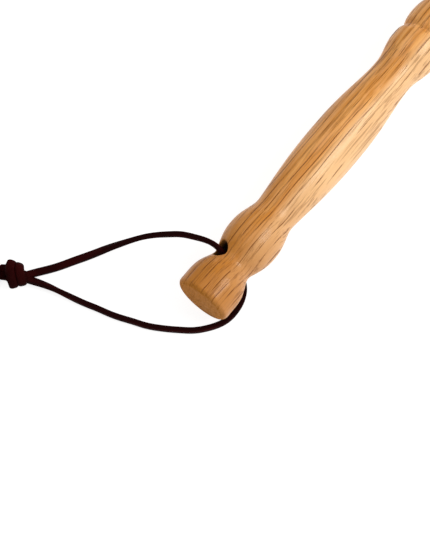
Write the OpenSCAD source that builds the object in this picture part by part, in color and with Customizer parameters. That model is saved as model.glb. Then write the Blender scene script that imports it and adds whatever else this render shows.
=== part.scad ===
// Fly swatter: a turned oak handle with a hanging lace, a twisted wire shaft and a punched leather flap.
// The handle lies along +X with its butt towards -X, and the whole part rests on the plane z = 0.

/* [Handle turning] */
// Largest radius of the handle, at the butt flare and at the front vase
flare_r = 15; // [14:0.5:18]
// Radius of the first waist, where the lace hole is
waist_r = 10.7; // [9.5:0.1:11.5]
// Radius of the two round bulbs and of the grip's belly
bulb_r = 14.5; // [13:0.5:15]
// Radius of the waists at both ends of the grip
grip_waist_r = 11.2; // [10:0.1:12]
// Step of the handle's neck above the ferrule
neck_step = 0.8; // [0.2:0.1:3]
// Length of the butt, from its end face to the first waist
butt_l = 25; // [24:0.5:30]
// Length of the rear bulb, from waist to waist
bulb_l = 35; // [30:1:45]
// Length of the grip, from waist to waist
grip_l = 100; // [85:1:125]
// Length of the bead in front of the grip, up to its groove
bead_l = 26.5; // [24:0.5:32]
// Length of the front bulb, from the groove to the last waist
front_bulb_l = 27.5; // [24:0.5:36]
// Length of the front vase, from the last waist to the ferrule
vase_l = 44; // [38:1:60]

/* [Lace hole] */
// Diameter of the cross hole for the lace
lace_hole_d = 9.5; // [8:0.5:12]
// Slope of the cross hole above the horizontal, in degrees
lace_hole_slope = 40; // [35:1:45]

/* [Ferrule] */
// Outside diameter of the ferrule
ferrule_d = 18; // [14:0.5:22]
// Wall of the ferrule
ferrule_wall = 1; // [0.6:0.1:1.4]
// Length of the ferrule
ferrule_l = 18; // [14:1:26]
// Shank diameter of the two brads that hold the ferrule
brad_d = 1.4; // [1:0.1:2]
// Length of a brad's shank inside the ferrule
brad_l = 5; // [3:0.5:5.5]

/* [Wire frame] */
// Diameter of the spring wire
wire_d = 2.6; // [2:0.1:3.4]
// Depth that the wire presses into each yoke ply
wire_squeeze = 0.2; // [0.1:0.05:0.3]
// Pitch of the twist
twist_pitch = 17; // [14:1:22]
// Length of the twist inside the handle
socket_l = 42; // [30:1:60]
// Length of the bare twist in front of the ferrule
shaft_l = 40; // [25:1:80]
// Length of the fork, from the end of the twist to the cross bar
fork_l = 50; // [42:1:60]
// Inside radius of the wire's bends at the cross bar
wire_bend_r = 7; // [5:1:10]
// Radius of the bends where the two strands part, on the wire's centre line
fork_bend_r = 10; // [6:1:14]

/* [Leather head] */
// Width of the flap
flap_w = 98; // [84:1:124]
// Length of the free flap, from its fold line to its tip
flap_l = 114; // [90:1:150]
// Thickness of the free flap
flap_t = 2.2; // [1.6:0.1:3]
// Radius of the flap's two tip corners
flap_corner_r = 16; // [6:1:24]
// Thickness of each of the two yoke plies that hold the flap on the wire
ply_t = 1.8; // [1.2:0.1:2.6]
// Length of the riveted joint between the cross bar and the fold line
joint_l = 16; // [14:0.5:22]
// Margin of leather outside the wire
leather_margin = 8; // [7.6:0.2:10]
// Diameter of the punched holes
punch_d = 5.5; // [3:0.5:7]
// Spacing of the punched holes
punch_pitch = 12; // [10:0.5:16]
// Border of whole leather around the punched holes
punch_border = 11; // [8:1:16]

/* [Fasteners and thread] */
// Number of rivets across the joint
rivets = 4; // [3:1:5]
// Post diameter of a rivet
rivet_d = 3; // [2.4:0.2:4]
// Cap diameter of a rivet
rivet_cap_d = 8; // [6:0.5:9]
// Thickness of a rivet's cap
rivet_cap_t = 1.2; // [0.8:0.1:1.6]
// Diameter of the waxed thread
thread_d = 0.9; // [0.6:0.1:1.2]
// Distance from one stitch to the next
stitch_pitch = 6; // [5:0.5:9]
// Distance from the yoke's edge, or from the wire, to the stitching
stitch_inset = 3; // [2.4:0.2:3.6]

/* [Hanging lace] */
// Width of the flat lace
lace_w = 4; // [3.5:0.1:4.4]
// Thickness of the flat lace
lace_t = 2.6; // [1.8:0.1:2.8]

/* [Hidden] */
$fn = 64;
tiny = 0.01;
fit_gap = 0.05;          // radial clearance of rivets, brads and the ferrule's wire hole
soft_gap = 0.3;          // clearance between pieces that move against each other
axis_z = flare_r;        // height of the handle's axis above the table

// Stations along the handle, measured from the butt's end face
rim_r = 2.8;
flare_x = 6.5;
hole_x = butt_l + 1;
bulb_x = butt_l + 0.46 * bulb_l;
grip_x = butt_l + bulb_l;
belly_x = grip_x + 0.48 * grip_l;
bead_x = grip_x + grip_l + 0.68 * bead_l;
groove_x = grip_x + grip_l + bead_l;
front_bulb_x = groove_x + 0.35 * front_bulb_l;
last_waist_x = groove_x + front_bulb_l;
vase_x = last_waist_x + 0.41 * vase_l;
neck_x = last_waist_x + vase_l;
tenon_r = ferrule_d / 2 - ferrule_wall - fit_gap;
tenon_l = ferrule_l - ferrule_wall;

// The turned outline: each stretch ends at [station, radius] and its ease bends it towards one end
turning = [
    [flare_x, flare_r, 1],
    [butt_l, waist_r, 1.7],
    [bulb_x, bulb_r, 0.7],
    [grip_x, grip_waist_r, 1.3],
    [belly_x, bulb_r, 0.65],
    [grip_x + grip_l, grip_waist_r, 1.4],
    [bead_x, bulb_r - 0.4, 1],
    [groove_x, bulb_r - 2, 2.5],
    [front_bulb_x, bulb_r, 0.5],
    [last_waist_x, grip_waist_r, 1.2],
    [vase_x, flare_r, 0.9],
    [neck_x, ferrule_d / 2 + neck_step, 1.15]
];

// Stations of the ferrule, the wire and the head, on the same scale
ferrule_end_x = neck_x + ferrule_l;
socket_x = ferrule_end_x - socket_l;
fork_x = ferrule_end_x + shaft_l;
bar_x = fork_x + fork_l;
fold_x = bar_x + wire_d / 2 + joint_l;
bar_half = flap_w / 2 - leather_margin;
strand_r = wire_d / 2 + fit_gap;
socket_r = strand_r + wire_d / 2 + fit_gap;

// The free flap droops until the lower edge of its tip touches the table
droop = asin(axis_z / norm([flap_l, flap_t / 2])) - atan(flap_t / 2 / flap_l);
tip_x = fold_x + flap_l * cos(droop) + flap_t / 2 * sin(droop);
origin_x = tip_x / 2;

// The flap's clamped end is pressed to core_t, so that the plies close on the wire
core_t = wire_d - 2 * wire_squeeze;
stack_t = core_t + 2 * ply_t;

// Each fork leg is a straight line between the bend at the fork and the bend at the cross bar
bend_r = wire_bend_r + wire_d / 2;
fork_center = [fork_x, strand_r + fork_bend_r];
corner_center = [bar_x - bend_r, bar_half - bend_r];
leg = corner_center - fork_center;
leg_slope = atan2(leg.y, leg.x) + asin((fork_bend_r + bend_r) / norm(leg));

// Yoke: its slanted edges run beside the fork legs, and it is straight where it covers the joint
yoke_rear_x = fork_x + 0.3 * fork_l;
yoke_front_x = fold_x - flap_t / 2 - 1;
root_rear_x = bar_x + wire_d / 2 + soft_gap;
root_front_x = fold_x - flap_t / 2 - soft_gap;

// Rivets stand in one row across the joint, and one more closes the rear of the yoke
rivet_row_x = (root_rear_x + yoke_front_x) / 2;
rivet_span = flap_w - 2 * (rivet_cap_d / 2 + 6);
rear_rivet_x = yoke_rear_x + rivet_cap_d / 2 + 4;
rivet_spots = concat(
    [for (i = [0 : rivets - 1]) [rivet_row_x, rivet_span * (i / (rivets - 1) - 0.5)]],
    [[rear_rivet_x, 0]]
);

// Length of one stitch on the leather
stitch_l = 0.62 * stitch_pitch;

// Route of the lace, from the middle of its hole to the knot: [x, y, height, roll of the flat side]
upper_route = [
    [25, 0, 15, 60], [25.5, 5, 19, 60], [26, 9, 21.5, 65], [26, 13, 22, 70], [25, 17.5, 21.5, 75],
    [23, 23.5, 20, 80], [21, 29.5, 18, 80], [18, 34.5, 15.5, 80], [14.5, 40, 13, 75], [10.5, 45, 10.5, 70],
    [6.5, 49, 8, 65], [1.5, 53, 6, 55], [-4, 57, 4.5, 40], [-9.5, 60.5, 3, 25], [-15, 64, 2, 12],
    [-20.5, 67.5, 1.5, 0], [-26, 70.5, 1.5, 0], [-31.5, 74, 1.8, 0], [-36.5, 77.5, 2.5, 0], [-42, 80.5, 4, 0]
];
lower_route = [
    [25, 0, 15, 60], [24.5, -4.5, 11.2, 60], [23, -9, 7.4, 70], [19.5, -12.5, 5, 85], [15, -14, 4, 90],
    [9.5, -14.5, 3, 90], [4, -14, 2.5, 90], [-1.5, -11.5, 2.2, 90], [-6.5, -8, 2.2, 90], [-11, -4, 2.2, 90],
    [-14.5, 1, 2.2, 90], [-18, 6, 2.2, 90], [-21, 11, 2.2, 90], [-24, 16.5, 2.2, 90], [-26, 22.5, 2.2, 90],
    [-28.5, 28.5, 2.2, 90], [-30.5, 34.5, 2.2, 90], [-32, 41, 2.2, 90], [-34, 47.5, 2.2, 90],
    [-35.5, 54, 2.2, 90], [-37, 61, 2.3, 80], [-38.5, 67.5, 2.5, 60], [-40.5, 73.5, 2.8, 40], [-43, 79, 4, 20]
];
upper_tail = [[-49, 89, 5, 20], [-52, 92.5, 3.8, 10], [-55, 96.5, 2.2, 0], [-57.5, 101, 1.5, 0], [-59, 106, 1.5, 0]];
lower_tail = [[-52, 85, 5, 20], [-56, 87, 3.8, 10], [-60.5, 88.5, 2.2, 0], [-65, 89.5, 1.5, 0], [-70, 90, 1.5, 0]];
knot_center = [-46.8, 84, 5.2];
knot_turn = 130;
knot_d = 10.4;
knot_l = 12;

// Half a cosine wave from a to b in n steps, with its steep part moved by ease
function turned(a, b, n) = [
    for (i = [1 : n])
        let (u = i / n)
            [a.x + (b.x - a.x) * u, a.y + (b.y - a.y) * (1 - cos(180 * pow(u, b[2]))) / 2]
];

function butt_rim() = [
    for (i = [0 : 6])
        [rim_r * (1 - cos(15 * i)), flare_r - rim_r * (1 - sin(15 * i))]
];

function outline_steps(a, b) = max(3, ceil((b.x - a.x) / 2));

function handle_outline() =
    let (marks = concat([[rim_r, flare_r, 1]], turning))
        concat(
            butt_rim(),
            [for (k = [1 : len(marks) - 1])
                each turned(marks[k - 1], marks[k], outline_steps(marks[k - 1], marks[k]))]
        );

function unit(v) = v / norm(v);

function heading(path, i) =
    unit(path[min(i + 1, len(path) - 1)] - path[max(i - 1, 0)]);

// One ring of points round a path: section is the outline across it, roll turns it about the path
function ring(center, ahead, section, roll) =
    let (
        side = unit(cross([0, 0, 1], ahead)),
        top = cross(ahead, side)
    )
    [for (p = section)
        center + side * (p.x * cos(roll) - p.y * sin(roll)) + top * (p.x * sin(roll) + p.y * cos(roll))];

function circle_section(d, sides) = [for (i = [0 : sides - 1]) d / 2 * [cos(360 * i / sides), sin(360 * i / sides)]];

function strap_section(w, t) =
    let (c = 0.3 * t)
        [
            [w / 2, -t / 2 + c], [w / 2, t / 2 - c], [w / 2 - c, t / 2], [c - w / 2, t / 2],
            [-w / 2, t / 2 - c], [-w / 2, c - t / 2], [c - w / 2, -t / 2], [w / 2 - c, -t / 2]
        ];

// A closed tube of the given section along a path, as one polyhedron
module sweep(path, section, rolls) {
    n = len(section);
    last = len(path) - 1;
    points = [for (i = [0 : last]) each ring(path[i], heading(path, i), section, rolls[i])];
    walls = [
        for (i = [0 : last - 1])
            for (j = [0 : n - 1])
                let (k = (j + 1) % n)
                    each [
                        [i * n + j, (i + 1) * n + j, (i + 1) * n + k],
                        [i * n + j, (i + 1) * n + k, i * n + k]
                    ]
    ];
    rear_cap = [for (j = [0 : n - 1]) j];
    front_cap = [for (j = [n - 1 : -1 : 0]) last * n + j];
    polyhedron(points = points, faces = concat([rear_cap], walls, [front_cap]), convexity = 8);
}

module strap(route) {
    sweep([for (p = route) [p.x, p.y, p.z]], strap_section(lace_w, lace_t), [for (p = route) p[3]]);
}

// Moves a child from handle stations to the part's own origin
module placed() {
    translate([-origin_x, 0, 0])
        children();
}

module along_axis(x) {
    translate([x, 0, axis_z])
        rotate([0, 90, 0])
            children();
}

// Turned oak handle with its lace hole, its tenon and the socket for the wire
module handle() {
    outline = concat(
        [[0, 0]],
        [for (p = handle_outline()) [p.y, p.x]],
        [[tenon_r, neck_x], [tenon_r, neck_x + tenon_l], [0, neck_x + tenon_l]]
    );
    color("peru")
        placed()
            difference() {
                along_axis(0)
                    rotate_extrude()
                        polygon(outline);
                lace_hole();
                along_axis(socket_x)
                    cylinder(r = socket_r, h = socket_l);
                brad_places()
                    cylinder(d = brad_d, h = brad_l);
            }
}

module lace_hole() {
    translate([hole_x, 0, axis_z])
        rotate([lace_hole_slope - 90, 0, 0])
            cylinder(d = lace_hole_d, h = 4 * flare_r, center = true);
}

// Frames pointing at the handle's axis, at the upper and lower brad, with z running inwards
module brad_places() {
    for (side = [1, -1])
        translate([neck_x + 0.55 * ferrule_l, 0, axis_z + side * ferrule_d / 2])
            rotate([side > 0 ? 180 : 0, 0, 0])
                children();
}

// Spun brass cup over the tenon, with a hole in its end for the wire
module ferrule() {
    color("goldenrod")
        placed()
            difference() {
                along_axis(neck_x)
                    cylinder(d = ferrule_d, h = ferrule_l);
                along_axis(neck_x - tiny)
                    cylinder(r = tenon_r + fit_gap, h = tenon_l + tiny);
                along_axis(neck_x)
                    cylinder(r = socket_r, h = ferrule_l + tiny);
                brad_places()
                    cylinder(d = brad_d + 2 * fit_gap, h = 4 * ferrule_wall, center = true);
            }
}

module ferrule_brads() {
    color("gold")
        placed()
            brad_places() {
                cylinder(d = brad_d, h = brad_l);
                translate([0, 0, -0.5])
                    cylinder(d1 = 1.2 * brad_d, d2 = 2 * brad_d, h = 0.5);
            }
}

// Angle of the twist at a distance behind the fork, where the last half pitch runs out straight
function twist_angle(back) =
    back < twist_pitch / 2 ? 360 * pow(back / twist_pitch, 2) : 360 * back / twist_pitch - 90;

// One strand of the twist, from the bottom of its socket to just before the fork
function strand(phase) =
    let (
        length = fork_x - socket_x - 1,
        steps = ceil(10 * length / twist_pitch)
    )
    [for (i = [steps : -1 : 1])
        let (back = length * i / steps, a = phase + twist_angle(back))
            [fork_x - back, strand_r * cos(a), axis_z + strand_r * sin(a)]];

function arc(center, r, from, to, steps) = [
    for (i = [0 : steps])
        let (a = from + (to - from) * i / steps)
            center + r * [cos(a), sin(a)]
];

// Half of the flat frame, from the fork to the cross bar, on the given side
function half_frame(side) = [
    for (p = concat(
        arc(fork_center, fork_bend_r, -90, leg_slope - 90, 5),
        arc(corner_center, bend_r, leg_slope + 90, 0, 8)
    ))
        [p.x, side * p.y, axis_z]
];

function reversed(list) = [for (i = [len(list) - 1 : -1 : 0]) list[i]];

// One length of wire: in along one strand, round the cross bar and back along the other strand
module wire_frame() {
    path = concat(strand(0), half_frame(1), reversed(half_frame(-1)), reversed(strand(180)));
    color("silver")
        placed()
            sweep(path, circle_section(wire_d, 10), [for (p = path) 0]);
}

// Corners of half the yoke from rear to front, drawn in from its slanted and outer edges by inset
function yoke_corners(inset) =
    let (
        reach = leather_margin - inset - fork_bend_r,
        rear = yoke_rear_x + inset,
        outer = flap_w / 2 - inset
    )
    [
        [rear, fork_center.y + (reach + sin(leg_slope) * (rear - fork_x)) / cos(leg_slope)],
        [fork_x + (cos(leg_slope) * (outer - fork_center.y) - reach) / sin(leg_slope), outer],
        [yoke_front_x - inset, outer]
    ];

module yoke_outline() {
    half = yoke_corners(0);
    polygon(concat(half, [for (p = reversed(half)) [p.x, -p.y]]));
}

module rivet_holes() {
    for (p = rivet_spots)
        translate([p.x, p.y, 0])
            cylinder(d = rivet_d + 2 * fit_gap, h = 4 * axis_z, center = true);
}

module ply(z) {
    color("saddlebrown")
        placed()
            difference() {
                translate([0, 0, z])
                    linear_extrude(ply_t)
                        yoke_outline();
                rivet_holes();
            }
}

module yoke_top() {
    ply(axis_z + core_t / 2);
}

module yoke_bottom() {
    ply(axis_z - core_t / 2 - ply_t);
}

// The part of the flap that is clamped between the plies
module flap_root() {
    color("sienna")
        placed()
            difference() {
                translate([root_rear_x, -flap_w / 2, axis_z - core_t / 2])
                    cube([root_front_x - root_rear_x, flap_w, core_t]);
                rivet_holes();
            }
}

// Places of the punched holes on the free flap, in staggered rows from the fold line outwards
function punch_spots() =
    let (
        row_step = punch_pitch * sin(60),
        rows = floor((flap_l - 2 * punch_border) / row_step),
        half = flap_w / 2 - punch_border
    )
    [for (i = [0 : rows])
        let (
            x = flap_l / 2 + row_step * (i - rows / 2),
            shift = (i % 2) / 2,
            count = floor(half / punch_pitch - shift)
        )
        for (j = [-count : count + 2 * shift])
            let (y = punch_pitch * (j - shift))
                if (norm([max(0, x - flap_l + flap_corner_r), max(0, abs(y) - flap_w / 2 + flap_corner_r)])
                    < flap_corner_r - punch_border / 2)
                    [x, y]];

module flap_shape() {
    r = flap_corner_r;
    translate([0, -flap_w / 2])
        square([flap_l - r, flap_w]);
    translate([flap_l - r - tiny, r - flap_w / 2])
        square([r + tiny, flap_w - 2 * r]);
    for (side = [-1, 1])
        translate([flap_l - r, side * (flap_w / 2 - r)])
            circle(r);
}

// Free flap with its rolled rear edge on the fold line and its punched holes
module flap() {
    color("sienna")
        placed()
            translate([fold_x, 0, axis_z])
                rotate([0, droop, 0])
                    difference() {
                        union() {
                            translate([0, 0, -flap_t / 2])
                                linear_extrude(flap_t)
                                    flap_shape();
                            rotate([90, 0, 0])
                                cylinder(d = flap_t, h = flap_w, center = true);
                        }
                        for (p = punch_spots())
                            translate([p.x, p.y, 0])
                                cylinder(d = punch_d, h = 3 * flap_t, center = true);
                    }
}

// Lower half of each rivet: a cap under the yoke and a post through the leather
module rivet_posts() {
    color("goldenrod")
        placed()
            for (p = rivet_spots)
                translate([p.x, p.y, axis_z - stack_t / 2 - rivet_cap_t]) {
                    cylinder(d1 = 0.8 * rivet_cap_d, d2 = rivet_cap_d, h = rivet_cap_t);
                    cylinder(d = rivet_d, h = rivet_cap_t + stack_t);
                }
}

// Upper half of each rivet: a cap that seats on the yoke and on the end of its post
module rivet_caps() {
    color("gold")
        placed()
            for (p = rivet_spots)
                translate([p.x, p.y, axis_z + stack_t / 2])
                    cylinder(d1 = rivet_cap_d, d2 = 0.8 * rivet_cap_d, h = rivet_cap_t);
}

// One saddle stitch: thread above, below and down both ends, centred on the yoke's stack
module stitch() {
    reach = stitch_l / 2;
    drop = stack_t / 2 + thread_d / 4;
    for (side = [-1, 1]) {
        translate([0, 0, side * drop])
            rotate([0, 90, 0])
                cylinder(d = thread_d, h = stitch_l, center = true, $fn = 16);
        translate([side * reach, 0, 0])
            cylinder(d = thread_d, h = 2 * drop, center = true, $fn = 16);
        for (end = [-1, 1])
            translate([end * reach, 0, side * drop])
                sphere(d = thread_d, $fn = 16);
    }
}

// A straight row of stitches from a to b, with whole gaps at both ends
module stitch_row(a, b) {
    run = norm(b - a);
    count = floor(run / stitch_pitch);
    for (i = [0 : count - 1])
        translate(a + (b - a) * (i + 0.5) / count)
            rotate([0, 0, atan2(b.y - a.y, b.x - a.x)])
                stitch();
}

// Rows along the yoke's slanted and outer edges, and one row behind the cross bar
module yoke_stitching() {
    seam = yoke_corners(stitch_inset);
    bar_seam = [bar_x - wire_d / 2 - stitch_inset, corner_center.y - stitch_inset];
    color("wheat")
        placed()
            translate([0, 0, axis_z]) {
                for (side = [1, -1])
                    for (k = [0, 1])
                        stitch_row([seam[k].x, side * seam[k].y], [seam[k + 1].x, side * seam[k + 1].y]);
                stitch_row([bar_seam.x, -bar_seam.y], bar_seam);
            }
}

module lace_upper() {
    color("#2a0a0a")
        placed()
            strap(upper_route);
}

module lace_lower() {
    color("#2a0a0a")
        placed()
            strap(lower_route);
}

// The overhand knot that both strands are tied in, as one plain barrel
module lace_knot() {
    color("#2a0a0a")
        placed()
            translate(knot_center)
                rotate([0, 90, knot_turn])
                    rotate_extrude($fn = 24)
                        polygon([
                            [0, -knot_l / 2], [0.35 * knot_d, -knot_l / 2], [knot_d / 2, -knot_l / 5],
                            [knot_d / 2, knot_l / 5], [0.35 * knot_d, knot_l / 2], [0, knot_l / 2]
                        ]);
}

module lace_tails() {
    color("#2a0a0a")
        placed() {
            strap(upper_tail);
            strap(lower_tail);
        }
}

handle();
ferrule();
ferrule_brads();
wire_frame();
yoke_top();
yoke_bottom();
flap_root();
flap();
rivet_posts();
rivet_caps();
yoke_stitching();
lace_upper();
lace_lower();
lace_knot();
lace_tails();
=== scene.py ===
import math
import random
import bmesh
import bpy
import numpy as np
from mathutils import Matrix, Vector
from mathutils.geometry import delaunay_2d_cdt


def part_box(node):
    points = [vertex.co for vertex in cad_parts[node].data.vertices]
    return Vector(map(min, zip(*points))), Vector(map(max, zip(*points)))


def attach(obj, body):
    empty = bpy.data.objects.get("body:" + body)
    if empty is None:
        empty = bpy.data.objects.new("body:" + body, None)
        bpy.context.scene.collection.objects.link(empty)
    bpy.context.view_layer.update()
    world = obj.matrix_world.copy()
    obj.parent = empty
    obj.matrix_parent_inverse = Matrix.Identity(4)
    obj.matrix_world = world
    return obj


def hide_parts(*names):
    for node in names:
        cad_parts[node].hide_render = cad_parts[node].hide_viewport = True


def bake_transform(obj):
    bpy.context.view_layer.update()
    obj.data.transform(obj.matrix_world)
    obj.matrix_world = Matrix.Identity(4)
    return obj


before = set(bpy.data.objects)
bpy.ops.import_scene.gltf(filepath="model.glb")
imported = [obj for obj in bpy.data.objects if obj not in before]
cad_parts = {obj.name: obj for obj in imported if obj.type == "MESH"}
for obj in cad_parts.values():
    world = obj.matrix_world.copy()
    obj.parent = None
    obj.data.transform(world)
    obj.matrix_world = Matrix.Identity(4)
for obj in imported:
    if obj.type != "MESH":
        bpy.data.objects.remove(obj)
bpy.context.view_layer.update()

# Lengths below are in millimetres, and stations are measured along the handle from its butt face
millimetre = 0.001
handleLow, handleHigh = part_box("handle")
buttX = handleLow.x
axisZ = (handleLow.z + handleHigh.z) / 2 / millimetre
mergeGap = 1e-7  # in metres: points nearer than this become one


def inFrame(points):  # from millimetres and stations to the frame's metres
    return np.asarray(points, float) * millimetre + (buttX, 0, 0)


def unit(vectors):
    vectors = np.asarray(vectors, float)
    return vectors / np.linalg.norm(vectors, axis=-1, keepdims=True)


def smoothStep(values, start, end):
    t = np.clip((np.asarray(values, float) - start) / (end - start), 0, 1)
    return t * t * (3 - 2 * t)


cameraView = {
    "azimuth": -51.3,
    "elevation": 70.2,
    "distance": 0.77,
    "target": (18.1, 5.4, 15),
    "lens": 103.2,
    "sensor": 36,
    "reach": 20,
}


def addCamera(view):
    azimuth = math.radians(view["azimuth"])
    elevation = math.radians(view["elevation"])
    back = Vector((
        math.sin(azimuth) * math.cos(elevation),
        -math.cos(azimuth) * math.cos(elevation),
        math.sin(elevation),
    ))
    camera = bpy.data.objects.new("camera", bpy.data.cameras.new("camera"))
    camera.data.lens = view["lens"]
    camera.data.sensor_width = view["sensor"]
    camera.data.clip_end = view["reach"]
    camera.location = Vector(inFrame(view["target"])) + view["distance"] * back
    camera.rotation_euler = (-back).to_track_quat("-Z", "Y").to_euler()
    bpy.context.scene.collection.objects.link(camera)
    bpy.context.scene.camera = camera


lightSet = {
    "key": {"from": (0.55, -0.75, 0.9), "size": 0.7, "power": 10, "color": (1, 0.96, 0.9)},
    "top": {"from": (0.1, 0.35, 1.2), "size": 1.1, "power": 3, "color": (1, 1, 1)},
    "fill": {"from": (-0.9, 0.3, 0.6), "size": 1.0, "power": 0.8, "color": (0.95, 0.98, 1)},
    "sky": 0.35,
}


def addLight(name, light, target):
    lamp = bpy.data.objects.new(name, bpy.data.lights.new(name, "AREA"))
    lamp.data.shape = "DISK"
    lamp.data.size = light["size"]
    lamp.data.energy = light["power"]
    lamp.data.color = light["color"]
    away = Vector(light["from"])
    lamp.location = target + away
    lamp.rotation_euler = (-away).to_track_quat("-Z", "Y").to_euler()
    bpy.context.scene.collection.objects.link(lamp)


def addLights(lights):
    target = Vector(inFrame(cameraView["target"]))
    for name in ("key", "top", "fill"):
        addLight(name, lights[name], target)
    world = bpy.data.worlds.new("studio")
    world.use_nodes = True
    background = world.node_tree.nodes["Background"]
    background.inputs["Color"].default_value = (1, 1, 1, 1)
    seen = place(world.node_tree, "LightPath").outputs["Is Camera Ray"]
    strength = spread(world.node_tree, seen, 0.0, 1.0, lights["sky"], 1.0)
    world.node_tree.links.new(strength, background.inputs["Strength"])
    bpy.context.scene.world = world
    bpy.context.scene.view_settings.view_transform = "Standard"


def makePiece(name, points, faces, material, edge=None, sharp=None):
    mesh = bpy.data.meshes.new(name)
    mesh.from_pydata(inFrame(points).tolist(), [], [tuple(int(i) for i in face) for face in faces])
    if edge is not None:
        attribute = mesh.attributes.new("edge", "FLOAT", "POINT")
        attribute.data.foreach_set("value", np.asarray(edge, np.float32))
    tidy = bmesh.new()
    tidy.from_mesh(mesh)
    bmesh.ops.remove_doubles(tidy, verts=tidy.verts, dist=mergeGap)
    bmesh.ops.recalc_face_normals(tidy, faces=tidy.faces)
    for face in tidy.faces:
        face.smooth = True
    tidy.to_mesh(mesh)
    tidy.free()
    if sharp is not None:
        mesh.set_sharp_from_angle(angle=math.radians(sharp))
    mesh.materials.append(material)
    piece = bpy.data.objects.new(name, mesh)
    bpy.context.scene.collection.objects.link(piece)
    return piece


def settle(piece, body, node):  # the body it rides on and the solid it stands for
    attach(piece, body)
    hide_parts(node)


def joined(parts):  # several (points, faces) as one
    points, faces, count = [], [], 0
    for partPoints, partFaces in parts:
        points.append(np.asarray(partPoints, float))
        faces += [[i + count for i in face] for face in partFaces]
        count += len(partPoints)
    return np.vstack(points), faces


lineCuts = 16  # points between two knots, before the line is spaced evenly


def smoothLine(knots, spacing):  # evenly spaced through the knots; further columns are carried along
    knots = np.asarray(knots, float)
    padded = np.vstack([2 * knots[0] - knots[1], knots, 2 * knots[-1] - knots[-2]])
    t = np.linspace(0, 1, lineCuts, endpoint=False)[:, None]
    dense = []
    for a, b, c, d in zip(padded, padded[1:], padded[2:], padded[3:]):
        dense.append(b + 0.5 * t * (c - a + t * (2 * a - 5 * b + 4 * c - d + t * (3 * (b - c) + d - a))))
    dense = np.vstack(dense + [knots[-1:]])
    steps = np.linalg.norm(np.diff(dense[:, :3], axis=0), axis=1)
    along = np.concatenate([[0], np.cumsum(steps)])
    at = np.linspace(0, along[-1], max(3, round(along[-1] / spacing) + 1))
    return np.stack([np.interp(at, along, column) for column in dense.T], axis=1)


def eased(line, passes):  # the same line with small kinks drawn out, its ends kept
    line = np.array(line)
    for _ in range(passes):
        line[1:-1] = (line[:-2] + 2 * line[1:-1] + line[2:]) / 4
    return line


def headings(line):
    return unit(np.gradient(line, axis=0))


def carriedFrames(line, first):  # a side direction at each point that never twists about the line
    ahead = headings(line)
    sides = [unit(first - ahead[0] * np.dot(first, ahead[0]))]
    for direction in ahead[1:]:
        side = sides[-1] - direction * np.dot(sides[-1], direction)
        sides.append(unit(side))
    return np.array(sides)


def bandFaces(rings):  # quads from each ring of point numbers to the next
    faces = []
    for first, second in zip(rings, rings[1:]):
        for i in range(len(first)):
            k = (i + 1) % len(first)
            faces.append([first[i], second[i], second[k], first[k]])
    return faces


def tubeFaces(rows, count, closed=False):  # the sides of a tube whose points come ring by ring
    rings = np.arange(rows * count).reshape(rows, count).tolist()
    return bandFaces(rings + rings[:1] if closed else rings)


def sweep(line, sides, section, sizes=None):  # a closed tube: the section's first axis lies along sides
    ahead = headings(line)
    tops = unit(np.cross(ahead, sides))
    count = len(section)
    if sizes is None:
        sizes = np.ones(len(line))
    rings = [
        center + size * (section[:, :1] * side + section[:, 1:] * top)
        for center, side, top, size in zip(line, sides, tops, sizes)
    ]
    faces = tubeFaces(len(line), count)
    faces.append(list(range(count))[::-1])
    faces.append([(len(line) - 1) * count + j for j in range(count)])
    return np.vstack(rings), faces


def roundSection(radius, count):
    angles = np.linspace(0, 2 * math.pi, count, endpoint=False)
    return radius * np.stack([np.cos(angles), np.sin(angles)], axis=1)


def revolve(profile, origin, along, count, closed=False):  # profile is [distance along, radius]
    along = unit(along)
    first = unit(np.cross(along, (0, 1, 0) if abs(along[1]) < 0.9 else (1, 0, 0)))
    second = np.cross(along, first)
    angles = np.linspace(0, 2 * math.pi, count, endpoint=False)
    points = []
    for distance, radius in profile:
        for angle in angles:
            outward = math.cos(angle) * first + math.sin(angle) * second
            points.append(np.asarray(origin) + distance * along + radius * outward)
    return np.array(points), tubeFaces(len(profile), count, closed)


def insideLoop(points, loop):  # which points lie inside a closed loop in the plane
    x, y = points[:, :1], points[:, 1:2]
    a, b = loop, np.roll(loop, -1, axis=0)
    crosses = (a[:, 1] > y) != (b[:, 1] > y)
    level = a[:, 1] == b[:, 1]
    rise = np.where(level, 1, b[:, 1] - a[:, 1])  # a level edge is never crossed
    left = x < (b[:, 0] - a[:, 0]) * (y - a[:, 1]) / rise + a[:, 0]
    return (crosses & left).sum(axis=1) % 2 == 1


def roundedOutline(corners, radii, spacing):  # points and outward normals round a convex shape
    corners = np.asarray(corners, float)
    points, normals = [], []
    for i, (corner, radius) in enumerate(zip(corners, radii)):
        before = unit(corner - corners[i - 1])
        after = unit(corners[(i + 1) % len(corners)] - corner)
        turn = math.atan2(before[0] * after[1] - before[1] * after[0], float(np.dot(before, after)))
        inward = np.array([-before[1], before[0]])
        center = corner + radius * (inward - before * math.tan(turn / 2))
        start = math.atan2(-before[0], before[1])
        cuts = max(3, round(turn * radius / plateMesh["arcStep"]))
        for step in range(cuts + 1):
            angle = start + turn * step / cuts
            normals.append(np.array([math.cos(angle), math.sin(angle)]))
            points.append(center + radius * normals[-1])
    filled, filledNormals = [], []
    for point, following, normal in zip(points, points[1:] + points[:1], normals):
        parts = max(1, round(float(np.linalg.norm(following - point)) / spacing))
        for step in range(parts):
            filled.append(point + (following - point) * step / parts)
            filledNormals.append(normal)
    return np.array(filled), np.array(filledNormals)


def triangulated(flat, edges):  # the points, the triangles, and where each given point went
    made = delaunay_2d_cdt([Vector(point) for point in flat], edges, [], 0, 1e-9)
    whereIs = {old: new for new, olds in enumerate(made[3]) for old in olds}
    return np.array([tuple(point) for point in made[0]]), [list(face) for face in made[2]], whereIs


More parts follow.
